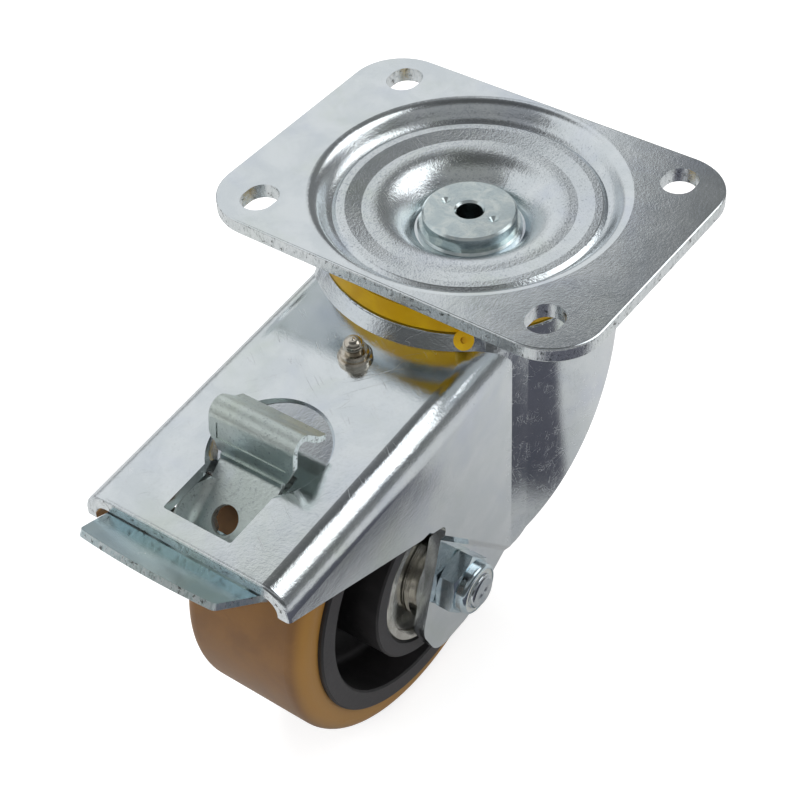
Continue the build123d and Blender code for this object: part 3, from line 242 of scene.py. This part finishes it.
def zinc(name, light, dark, rough=0.07, grain=0.026, scuffs=0.5, edge=None, drawn=None, rubbed=None):
    """Bright zinc on pressed steel: tinted clouds, fine grain, scratches and pale torn edges.

    grain is the depth of the grain in millimetres and scuffs the strength of the scratches.
    edge, drawn and rubbed take the finish and its place: edge gives 1 on the sheet's cut edges,
    drawn 1 where the press drew the sheet and left it coarser, and rubbed 1 on short scratches.
    """
    f = Finish(name)
    here = f.place()

    clouds = f.cloud(here, 14.0, detail=4.0, rough=0.6, warp=0.5, seed=1.0)
    stains = f.cloud(here, 34.0, rough=0.6, warp=0.8, seed=2.0)
    freckles = f.cloud(here, 0.6, rough=0.75, seed=3.0)
    colour = f.mix(clouds.rise(0.36, 0.66), dark, light)
    colour = f.mix(stains.rise(0.50, 0.74) * 0.36, colour, GREEN_STAIN)
    colour = f.mix(stains.rise(0.48, 0.26) * 0.30, colour, BLUE_STAIN)
    colour = f.mix(freckles.rise(0.58, 0.76) * 0.30, colour, FRECKLE)

    marks = 0.0
    for angles, size, thin, seed in ZINC_SCRATCHES:
        marks = f.scratches(here, angles, size, thin, seed).at_least(marks)
    marks = marks * scuffs
    if rubbed is not None:
        marks = marks.at_least(rubbed(f, here))
    colour = f.mix(marks * 0.6, colour, SCRATCHED)
    roughness = rough + clouds * 0.03 + freckles * 0.06 + marks * 0.25

    pebbles = f.cloud(here, 0.9, rough=0.8, seed=21.0)
    ripple = f.cloud(here, 11.0, detail=2.0, seed=22.0)
    normal = f.bump(ripple, 0.045)
    normal = f.bump(pebbles, grain, normal)

    if drawn is not None:
        coarse = drawn(f, here)
        peel = f.cloud(here, 0.75, detail=2.0, rough=0.7, seed=41.0)
        colour = f.mix(coarse * peel.rise(0.56, 0.72) * 0.4, colour, PEELED)
        roughness = roughness + coarse * (0.05 + peel * 0.10)
        normal = f.bump(peel * coarse, 0.10, normal)

    normal = f.bump(1 - marks, 0.012, normal)

    if edge is not None:
        cut = edge(f, here)
        upright = f.stretch(here, (1.0, 1.0, 0.3))
        torn = f.cloud(upright, 0.9, detail=4.0, rough=0.75, warp=0.3, seed=31.0)
        pits = f.cloud(here, 1.7, rough=0.75, warp=0.6, seed=33.0).rise(0.57, 0.64) * cut
        colour = f.mix(cut * torn.rise(0.35, 0.65) * 0.8, colour, TORN_PALE)
        colour = f.mix(cut * torn.rise(0.48, 0.30) * 0.6, colour, TORN_DULL)
        colour = f.mix(pits * 0.85, colour, PITTED)
        roughness = roughness + cut * 0.14
        normal = f.bump(torn * cut, 0.09, normal)

    f.surface.inputs["Metallic"].default_value = 1.0
    return f.show(Base_Color=colour, Roughness=roughness, Normal=normal)


# where a finish of zinc differs over a piece: each gives 1 there, from places in millimetres
def plate_edge(f, here):
    """The outline and the slots of the top plate, outside its pressing."""
    x, y = f.parts(here)[:2]
    upright = abs(f.facing()[2]).rise(0.75, 0.45)
    return upright * radius(x, y).rise(50.0, 51.5)


def plate_pressing(f, here):
    """The rings pressed down into the middle of the top plate."""
    x, y, z = f.parts(here)
    return radius(x, y).rise(52.0, 44.0) * z.rise(-14.0, -12.0)


def fork_bends(f, here):
    """The bends between the fork's panel, its crown and its legs."""
    nz = f.facing()[2]
    return nz.rise(0.99, 0.95) * nz.rise(0.02, 0.25) * 0.6


def fork_rub(f, here):
    """Short scratches on the fork's sides below the race, where castors rub together in the box."""
    x, y, z = f.parts(here)
    side = x.rise(-38.0, -35.0) * x.rise(14.0, -4.0) * z.rise(-16.0, -24.0)
    scratched = 0.0
    for tilt in (-50.0, -12.0, 24.0, 65.0):
        line = f.lines(here, (90.0, 0.0, tilt), 0.14, 1.3, 0.014, 0.0, 50.0 + tilt)
        patch = f.cloud(here, 5.0, detail=2.0, seed=90.0 + tilt).rise(0.50, 0.64)
        scratched = (line * patch).at_least(scratched)
    return scratched * side


# the front end of the fork's panel, and the panel's rise for each millimetre along X
PANEL_END_X = -143.3
PANEL_END_Z = -30.8
PANEL_SLOPE = 0.0875


def leg_edge(f, here):
    """The trimmed lower edges of the fork's flanks, and the front end of its panel."""
    nx, ny = f.facing()[:2]
    x, y, z = f.parts(here)
    above_panel = z - PANEL_END_Z - (x - PANEL_END_X) * PANEL_SLOPE
    flank = above_panel.rise(-8.5, -9.5) * (z + x * 0.9).rise(12.0, -6.0) * x.rise(-84.0, -90.0)
    front = nx.rise(-0.85, -0.95) * x.rise(-138.0, -141.0)
    return (abs(ny).rise(0.45, 0.25) * flank).at_least(front)


def rocker_edge(f, here):
    """The sides of the rocker's sheet."""
    return abs(f.facing()[1]).rise(0.7, 0.9)


def rocker_skin(f, here):
    """Nearly all of the rocker, whose sheet is coarser than the fork's."""
    return f.cloud(here, 7.0, detail=2.0).rise(0.1, 0.5)


PEDAL_LEAN = radians(29.8)


def pedal_edge(f, here):
    """All round the pedal, whose face leans."""
    nx, ny, nz = f.facing()
    face = abs(nx * sin(PEDAL_LEAN) + nz * cos(PEDAL_LEAN))
    return face.rise(0.8, 0.5)


# ---- bright steel, nickel and turned parts -------------------------------------------
X, Y, Z = 0, 1, 2
SOIL = tone(104, 104, 102)


def bright(name, light, dark, rough, axis=Z, centre=(0.0, 0.0), thread=0.0):
    """Turned or drawn metal with fine rings about the line through centre along an axis.

    thread is the pitch of a thread in millimetres, or 0 for none.
    """
    f = Finish(name)
    here = f.place()
    spots = f.parts(here)
    along = spots.pop(axis)
    u = spots[0] - centre[0]
    v = spots[1] - centre[1]

    clouds = f.cloud(here, 4.0, detail=4.0, rough=0.6, warp=0.5, seed=5.0)
    rings = f.cloud(f.joined(radius(u, v) * 9.0, along * 9.0), 1.0, detail=2.0, rough=0.6, seed=6.0)
    soil = f.cloud(here, 0.9, rough=0.7, seed=8.0).rise(0.58, 0.80)
    colour = f.mix(clouds.rise(0.35, 0.7), dark, light)
    colour = f.mix(soil * 0.35, colour, SOIL)
    roughness = rough + rings * 0.10 + soil * 0.12
    normal = f.bump(rings, 0.012)
    normal = f.bump(f.cloud(here, 0.35, detail=2.0, rough=0.6, seed=7.0), 0.006, normal)
    if thread:
        helix = (along * (2 * pi) / thread + v.maths("ARCTAN2", v, u)).wave()
        normal = f.bump(helix * 0.5 + 0.5, thread * 0.35, normal)
    f.surface.inputs["Metallic"].default_value = 1.0
    return f.show(Base_Color=colour, Roughness=roughness, Normal=normal)


# ---- wheel ---------------------------------------------------------------------------
AXLE_X = -65.0
AXLE_Z = -97.5

AMBER_LIGHT = tone(128, 88, 38)
AMBER_DARK = tone(114, 76, 30)
# painted light: a lighter amber for the tread's sides, which lifts them where shade falls
AMBER_PAINTED_SIDE_LIGHT = tone(172, 127, 60)
TREAD_DUST = tone(176, 142, 96)
BLACK_LIGHT = tone(40, 38, 39)
BLACK_DARK = tone(26, 25, 26)
BLACK_TURNED = tone(66, 64, 66)
BLACK_WORN = tone(92, 90, 90)


def wheel_places(f):
    """The place, how far it is from the axle's line, and where it is along that line."""
    here = f.place()
    x, y, z = f.parts(here)
    return here, radius(x - AXLE_X, z - AXLE_Z), y


def tyre():
    """Cast polyurethane: amber brown, satin, with a little dust and fine running marks, and painted
    light on its sides.
    """
    f = Finish("cast_polyurethane_tread")
    here, out, y = wheel_places(f)
    clouds = f.cloud(here, 14.0, detail=4.0, rough=0.6, warp=0.5, seed=1.0)
    dust = f.cloud(here, 1.1, detail=4.0, rough=0.7, warp=0.2, seed=2.0).rise(0.55, 0.80)
    colour = f.mix(clouds.rise(0.3, 0.7), AMBER_DARK, AMBER_LIGHT)
    # painted light: the tread's sides are painted a lighter amber to lift their shade
    colour = f.mix(abs(y).rise(19.0, 22.8) * 0.8, colour, AMBER_PAINTED_SIDE_LIGHT)
    colour = f.mix(dust * 0.12, colour, TREAD_DUST)
    running = f.cloud(f.joined(y * 3.0, out * 3.0), 1.0, rough=0.7, seed=4.0)
    marks = f.scratches(here, (90, 0, 20), 3.0, thin=0.007, seed=6.0)
    roughness = 0.36 + clouds * 0.10 + dust * 0.10 + running * 0.04
    normal = f.bump(running, 0.010)
    normal = f.bump(f.cloud(here, 0.8, rough=0.6, seed=7.0), 0.010, normal)
    normal = f.bump(1 - marks, 0.008, normal)
    f.surface.inputs["Subsurface Weight"].default_value = 0.12
    f.surface.inputs["Subsurface Radius"].default_value = (0.004, 0.002, 0.001)
    return f.show(Base_Color=colour, Roughness=roughness, Normal=normal)


def casting():
    """Black paint over a cast wheel centre, with a turned face on the rim and the hub."""
    f = Finish("black_painted_casting")
    here, out, y = wheel_places(f)
    clouds = f.cloud(here, 9.0, detail=4.0, rough=0.6, warp=0.3, seed=1.0)
    skin = f.cloud(here, 0.9, detail=4.0, rough=0.65, warp=0.2, seed=2.0)
    faces = abs(f.facing()[1]).rise(0.93, 0.99) * abs(y).rise(23.0, 24.5)
    worn = f.cloud(here, 3.0, detail=4.0, rough=0.7, warp=0.5, seed=5.0).rise(0.62, 0.74)
    colour = f.mix(clouds.rise(0.3, 0.75), BLACK_DARK, BLACK_LIGHT)
    colour = f.mix(faces * 0.5, colour, BLACK_TURNED)
    colour = f.mix(worn * 0.3, colour, BLACK_WORN)
    rings = f.cloud(f.joined(out * 5.0), 1.0, detail=2.0, rough=0.6, seed=3.0)
    roughness = 0.46 + skin * 0.16 - faces * 0.06
    normal = f.bump(skin, 0.05)
    normal = f.bump(rings * faces, 0.03, normal)
    return f.show(Base_Color=colour, Roughness=roughness, Normal=normal)


# ---- plastics ------------------------------------------------------------------------
PLASTIC_SPECK = tone(120, 96, 40)


def moulded(name, light, dark, rough=0.38, glow=0.0):
    """Moulded plastic with faint flow clouds and a fine skin; glow is how far light goes in."""
    f = Finish(name)
    here = f.place()
    clouds = f.cloud(here, 8.0, rough=0.55, warp=0.6, seed=1.0)
    skin = f.cloud(here, 0.5, rough=0.6, seed=2.0)
    specks = f.cloud(here, 1.3, rough=0.7, seed=3.0).rise(0.66, 0.80)
    colour = f.mix(clouds.rise(0.3, 0.7), dark, light)
    colour = f.mix(specks * 0.2, colour, PLASTIC_SPECK)
    normal = f.bump(skin, 0.012)
    f.surface.inputs["Subsurface Weight"].default_value = glow
    f.surface.inputs["Subsurface Radius"].default_value = (0.003, 0.002, 0.0006)
    return f.show(Base_Color=colour, Roughness=rough + skin * 0.12, Normal=normal)


# ---- finishes on the pieces -------------------------------------------------------------
ZINC_LIGHT = tone(222, 227, 229)
ZINC_DARK = tone(212, 218, 221)
STEEL_LIGHT = tone(214, 214, 212)
STEEL_DARK = tone(180, 180, 178)

# the lines that turned parts are round about, by their two coordinates across X, Y or Z
AXLE_LINE = (AXLE_X, AXLE_Z)
NIPPLE_LINE = (-61.5, 0.0)
ROCKER_LINE = (-110.0, -39.0)
BOLT_PITCH = 1.75

finishes = {
    "plate_zinc": zinc(
        "plate_zinc", ZINC_LIGHT, ZINC_DARK, rough=0.08, grain=0.03,
        edge=plate_edge, drawn=plate_pressing,
    ),
    "fork_zinc": zinc(
        "fork_zinc", ZINC_LIGHT, ZINC_DARK, scuffs=0.9,
        edge=leg_edge, drawn=fork_bends, rubbed=fork_rub,
    ),
    "rocker_zinc": zinc(
        "rocker_zinc", tone(226, 235, 231), tone(208, 218, 213), rough=0.24, grain=0.04,
        edge=rocker_edge, drawn=rocker_skin,
    ),
    "pedal_zinc": zinc(
        "pedal_zinc", tone(206, 226, 231), tone(192, 214, 221), rough=0.14, edge=pedal_edge
    ),
    "small_zinc": zinc("small_zinc", tone(206, 212, 214), tone(186, 192, 196), rough=0.24),
    "nut_zinc": bright("nut_zinc", tone(216, 224, 222), tone(192, 204, 206), 0.15),
    "axle_zinc": bright("axle_zinc", tone(208, 220, 224), tone(182, 198, 206), 0.08, Y, AXLE_LINE),
    "bolt_zinc": bright(
        "bolt_zinc", tone(218, 222, 224), tone(190, 198, 204), 0.12, Y, AXLE_LINE, BOLT_PITCH
    ),
    "bearing_steel": bright(
        "bearing_steel", tone(220, 218, 210), tone(192, 189, 180), 0.14, Y, AXLE_LINE
    ),
    "ball_steel": bright("ball_steel", STEEL_LIGHT, STEEL_DARK, 0.12),
    "nipple_nickel": bright(
        "nipple_nickel", tone(214, 208, 196), tone(176, 168, 154), 0.12, Z, NIPPLE_LINE
    ),
    "pin_steel": bright("pin_steel", STEEL_LIGHT, STEEL_DARK, 0.24, Y, ROCKER_LINE),
    "spring_steel": bright("spring_steel", tone(150, 150, 150), tone(118, 118, 120), 0.28),
    "tread": tyre(),
    "casting": casting(),
    "seal": moulded("seal_yellow", tone(220, 178, 8), tone(206, 160, 4), glow=0.12),
    "nylon": moulded(
        "nylon_insert", tone(222, 224, 220), tone(202, 206, 204), rough=0.42, glow=0.1
    ),
}

wears = {
    "top_plate": "plate_zinc",
    "kingpin": "nut_zinc",
    "kingpin_nut": "nut_zinc",
    "nut_collar": "nut_zinc",
    "upper_race_balls": "ball_steel",
    "lower_race_balls": "ball_steel",
    "lock_cup": "small_zinc",
    "dust_seal": "seal",
    "fork": "fork_zinc",
    "grease_nipple": "nipple_nickel",
    "tread": "tread",
    "wheel_centre": "casting",
    "bearing_outer_rings": "bearing_steel",
    "bearing_inner_rings": "bearing_steel",
    "bearing_balls": "ball_steel",
    "bearing_shields": "bearing_steel",
    "bearing_spacer": "small_zinc",
    "axle_bolt": "bolt_zinc",
    "lock_nut": "axle_zinc",
    "nut_insert": "nylon",
    "axle_tube": "axle_zinc",
    "side_collars": "bearing_steel",
    "brake_rocker": "rocker_zinc",
    "brake_shoe": "small_zinc",
    "pedal": "pedal_zinc",
    "hinge_lugs": "small_zinc",
    "rocker_pin": "pin_steel",
    "rocker_spring": "spring_steel",
    "lock_slide": "small_zinc",
    "slide_guide": "small_zinc",
}
for name, finish in wears.items():
    for slot in nodes[name].material_slots:
        slot.material = finishes[finish]


# ---- floor and card -------------------------------------------------------------------
# the floor in metres, and how much it glows for the camera and in mirrors
FLOOR_HALF = 3.0
FLOOR_DROP = 0.0002
FLOOR_GLOW = 0.70
FLOOR_GLOW_MIRRORED = 0.1

FLOOR_DARK = tone(186, 186, 186)
FLOOR_LIGHT = tone(190, 190, 190)

# the card's corners in metres, and where its two inner edges fade, in millimetres
CARD_FROM = (-0.40, -0.60)
CARD_TO = (0.05, -0.09)
CARD_EDGE_X = (26.0, 8.0)
CARD_EDGE_Y = (-100.0, -110.0)
CARD_DARK = tone(74, 74, 82)
CARD_LIGHT = tone(88, 88, 98)


def seen_rays(shading):
    """1 on the rays that the camera sends, also through glass, and 1 on those from a mirror."""
    straight, mirrored, through = shading.outputs(
        "ShaderNodeLightPath", ("Is Camera Ray", "Is Glossy Ray", "Is Transmission Ray")
    )
    return straight.at_least(through), mirrored


def flat_sheet(name, start, end, height, material):
    """A level rectangle between two corners."""
    (x0, y0), (x1, y1) = start, end
    mesh = bpy.data.meshes.new(name)
    corners = [(x0, y0, height), (x1, y0, height), (x1, y1, height), (x0, y1, height)]
    mesh.from_pydata(corners, [], [(0, 1, 2, 3)])
    mesh.materials.append(material)
    sheet = bpy.data.objects.new(name, mesh)
    bpy.context.scene.collection.objects.link(sheet)
    return sheet


def make_floor():
    """Pale paper under the castor, which shows its shadow and fades into the white behind."""
    f = Finish("pale_floor")
    paper = f.cloud(f.place(), 3.0, detail=2.0)
    f.show(Base_Color=f.mix(paper, FLOOR_DARK, FLOOR_LIGHT), Roughness=0.9)
    f.surface.inputs["Specular IOR Level"].default_value = 0.0
    seen, mirrored = seen_rays(f)
    paint = Value(f, f.surface.outputs[0])
    glow = f.add("ShaderNodeEmission", None, {"Color": (1, 1, 1, 1), "Strength": FLOOR_GLOW})
    both = f.add("ShaderNodeAddShader", None, {0: paint, 1: glow})
    f.veil(seen.at_least(mirrored * FLOOR_GLOW_MIRRORED), paint, both)
    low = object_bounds()[0][2] - FLOOR_DROP
    floor = flat_sheet("floor", (-FLOOR_HALF, -FLOOR_HALF), (FLOOR_HALF, FLOOR_HALF), low, f.material)
    floor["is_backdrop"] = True


def black_card():
    """A dark card on the floor before the castor, which only its metal mirrors."""
    f = Finish("black_card")
    here = f.place()
    x, y, z = f.parts(here)
    solid = x.rise(*CARD_EDGE_X) * y.rise(*CARD_EDGE_Y)
    f.show(Base_Color=f.mix(f.cloud(here, 2.0), CARD_DARK, CARD_LIGHT), Roughness=0.9)
    f.veil(solid, f.add("ShaderNodeBsdfTransparent"), Value(f, f.surface.outputs[0]))
    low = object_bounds()[0][2]
    card = flat_sheet("black_card", CARD_FROM, CARD_TO, low, f.material)
    card.visible_camera = card.visible_diffuse = card.visible_shadow = card.visible_transmission = False
    card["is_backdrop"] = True


# ---- studio and lamps -------------------------------------------------------------------
# what the metal mirrors: strengths, and the heights in degrees over which they fade in
ROOM_TINT = (0.97, 0.985, 1.0, 1.0)
CEILING_LIGHT = 0.10
WALL_LIGHT, WALL_FADE = 0.11, (76.0, 54.0)
LOW_WALL_LIGHT, LOW_WALL_FADE = 0.17, (18.0, -12.0)
FRONT_WALL = radians(-147.0)
FRONT_WALL_LIGHT, FRONT_LIGHT_FADE = 0.15, (30.0, 42.0)
FRONT_WALL_SHADE, FRONT_SHADE_FADE = 0.5, (42.0, 32.0)
RIGHT_BOX_LIGHT = 2.0
RIGHT_BOX_AZIMUTH, RIGHT_BOX_HEIGHT = radians(-38.0), radians(47.0)
RIGHT_BOX_INNER, RIGHT_BOX_OUTER = radians(20.0), radians(27.0)
LEFT_BOX_LIGHT = 0.88

# the left box in two steps, each by azimuths and by heights: start, end, and the fade at each
LEFT_BOX_STEPS = [
    ((28.0, 150.0, 0.8, 8.0), (5.0, 39.8, 7.0, 0.8)),
    ((35.0, 150.0, 2.0, 8.0), (30.0, 57.0, 7.0, 3.0)),
]

# place and aim in metres, diameter in metres, power in watts
LAMPS = {
    "soft_top": ((0.2, 0.9, 1.5), (-0.04, 0, -0.08), 1.4, 25.0),
    "soft_left": ((-1.4, 0.0, 1.0), (-0.04, 0, -0.08), 1.2, 12.0),
    "soft_right": ((0.3, -1.5, 0.5), (-0.06, 0, -0.08), 1.0, 6.0),
}


def between(value, start, end, fade_in, fade_out):
    """1 from start to end, with each end's fade half inside and half outside."""
    return value.rise(start - fade_in, start + fade_in) * value.rise(end + fade_out, end - fade_out)


def studio():
    """White for the camera; in the metal a grey room, a dark ceiling and two soft boxes."""
    world = bpy.data.worlds.new("studio")
    bpy.context.scene.world = world
    room = Shading(world)
    x, y, z = room.parts(room.add("ShaderNodeTexCoord", output="Generated"))
    azimuth = x.maths("ARCTAN2", y, x) * (180.0 / pi)
    height = z.maths("ARCSINE", z) * (180.0 / pi)

    walls = height.rise(*WALL_FADE)
    front = (x * cos(FRONT_WALL) + y * sin(FRONT_WALL)).rise(0.05, 0.45)
    high_front = front * height.rise(*FRONT_LIGHT_FADE) * FRONT_WALL_LIGHT
    low_walls = height.rise(*LOW_WALL_FADE) * LOW_WALL_LIGHT
    light = CEILING_LIGHT + walls * (WALL_LIGHT + high_front + low_walls)
    light = light * (1 - front * height.rise(*FRONT_SHADE_FADE) * FRONT_WALL_SHADE)

    left_box = 0.0
    for azimuths, heights in LEFT_BOX_STEPS:
        step = between(azimuth, *azimuths) * between(height, *heights)
        left_box = step.at_least(left_box)
    light = light.at_least(left_box * LEFT_BOX_LIGHT)

    level = cos(RIGHT_BOX_HEIGHT)
    middle = (cos(RIGHT_BOX_AZIMUTH) * level, sin(RIGHT_BOX_AZIMUTH) * level, sin(RIGHT_BOX_HEIGHT))
    nearness = x * middle[0] + y * middle[1] + z * middle[2]
    right_box = nearness.rise(cos(RIGHT_BOX_OUTER), cos(RIGHT_BOX_INNER))
    light = light.at_least(right_box * RIGHT_BOX_LIGHT)

    seen = seen_rays(room)[0]
    strength = light * (1 - seen) + seen
    room.connect(room.tree.nodes["Background"], {"Color": ROOM_TINT, "Strength": strength})


def lamp(name, place, aim, size, power):
    """A round soft lamp that lights the castor but isn't mirrored in it."""
    data = bpy.data.lights.new(name, "AREA")
    data.shape = "DISK"
    data.size = size
    data.energy = power
    item = bpy.data.objects.new(name, data)
    bpy.context.scene.collection.objects.link(item)
    item.location = place
    item.rotation_euler = (Vector(aim) - Vector(place)).to_track_quat("-Z", "Y").to_euler()
    item.visible_glossy = False


# ---- camera -----------------------------------------------------------------------------
# bearing, height and roll in degrees; how far back, right and up it stands, and lens, in millimetres
CAMERA_AZIMUTH, CAMERA_HEIGHT, CAMERA_ROLL = -52.176, 43.619, -3.055
CAMERA_BACK, CAMERA_RIGHT, CAMERA_UP = 560.04, -21.53, -65.513
CAMERA_SENSOR = 36.0
CAMERA_LENS = 81.102


def camera():
    """Looks down on the castor from the pedal side, a little rolled."""
    azimuth, height, roll = (radians(a) for a in (CAMERA_AZIMUTH, CAMERA_HEIGHT, CAMERA_ROLL))
    back = Vector((sin(azimuth) * cos(height), -cos(azimuth) * cos(height), sin(height)))
    level = (-back).cross(Vector((0, 0, 1))).normalized()
    upright = level.cross(-back)
    right = cos(roll) * level + sin(roll) * upright
    up = cos(roll) * upright - sin(roll) * level
    place = (back * CAMERA_BACK + right * CAMERA_RIGHT + up * CAMERA_UP) * MM
    data = bpy.data.cameras.new("camera")
    data.sensor_width = CAMERA_SENSOR
    data.lens = CAMERA_LENS
    data.clip_start = 0.01
    item = bpy.data.objects.new("camera", data)
    bpy.context.scene.collection.objects.link(item)
    item.matrix_world = Matrix.Translation(place) @ Matrix((right, up, back)).transposed().to_4x4()
    bpy.context.scene.camera = item


make_floor()
black_card()
studio()
for name, (place, aim, size, power) in LAMPS.items():
    lamp(name, place, aim, size, power)
camera()
bpy.context.scene.view_settings.view_transform = "Standard"
